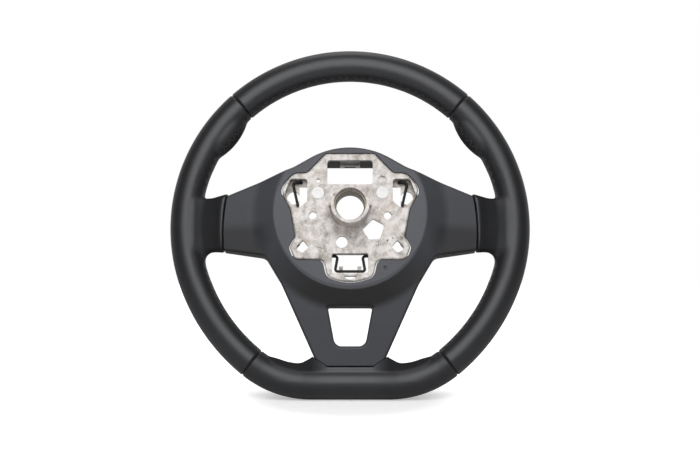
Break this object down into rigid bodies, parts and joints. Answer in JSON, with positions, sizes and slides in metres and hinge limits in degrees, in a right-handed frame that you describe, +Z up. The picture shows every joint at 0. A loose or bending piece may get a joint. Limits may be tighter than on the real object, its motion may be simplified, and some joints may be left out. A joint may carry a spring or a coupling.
{
  "type": "car steering wheel",
  "caption": "Flat-bottomed leather-covered car steering wheel without airbag, with cast hub, splined-shaft sleeve, moulded spokes and sprung airbag catches",
  "frame": {"origin": "on the hub's axis, in the rear face of the hub land", "axes": "-Y along the steering shaft, away from the driver; +Y to the driver; +Z up when the wheels point ahead"},
  "size_m": [0.37, 0.084, 0.3626],
  "materials": {
    "cast_alloy": "as die cast, mottled",
    "sleeve_steel": "turned",
    "foam": "moulded foam",
    "leather": "smooth, satin",
    "cover": "fine grained, matt",
    "spring_wire": "black oxide",
    "bush": "natural nylon",
    "contact": "stamped",
    "trim": "fine grained, satin"
  },
  "bodies": {
    "wheel": {"armature": "cast_alloy", "hub_sleeve": "sleeve_steel", "rim_foam": "foam", "leather_top": "leather", "leather_left": "leather", "leather_right": "leather", "leather_bottom": "leather", "hub_cover": "cover", "guide_bush_left": "bush", "guide_bush_right": "bush", "earth_contact": "contact", "trim_left": "trim", "trim_right": "trim", "trim_lower": "trim"},
    "left_catch": {"spring_left": "spring_wire"},
    "right_catch": {"spring_right": "spring_wire"},
    "lower_catch": {"spring_bottom": "spring_wire"}
  },
  "joints": [
    {"name": "left_catch_swing", "type": "hinge", "parent": "wheel", "child": "left_catch", "pos_m": [-0.0495, 0.015, 0.028], "axis": [0, 1, 0], "range_deg": [0, 5], "stiffness_Nm_per_rad": 3},
    {"name": "right_catch_swing", "type": "hinge", "parent": "wheel", "child": "right_catch", "pos_m": [0.0495, 0.015, 0.028], "axis": [0, -1, 0], "range_deg": [0, 5], "stiffness_Nm_per_rad": 3},
    {"name": "lower_catch_swing", "type": "hinge", "parent": "wheel", "child": "lower_catch", "pos_m": [0, 0.0115, -0.0472], "axis": [1, 0, 0], "range_deg": [-6, 6], "stiffness_Nm_per_rad": 1.5}
  ]
}
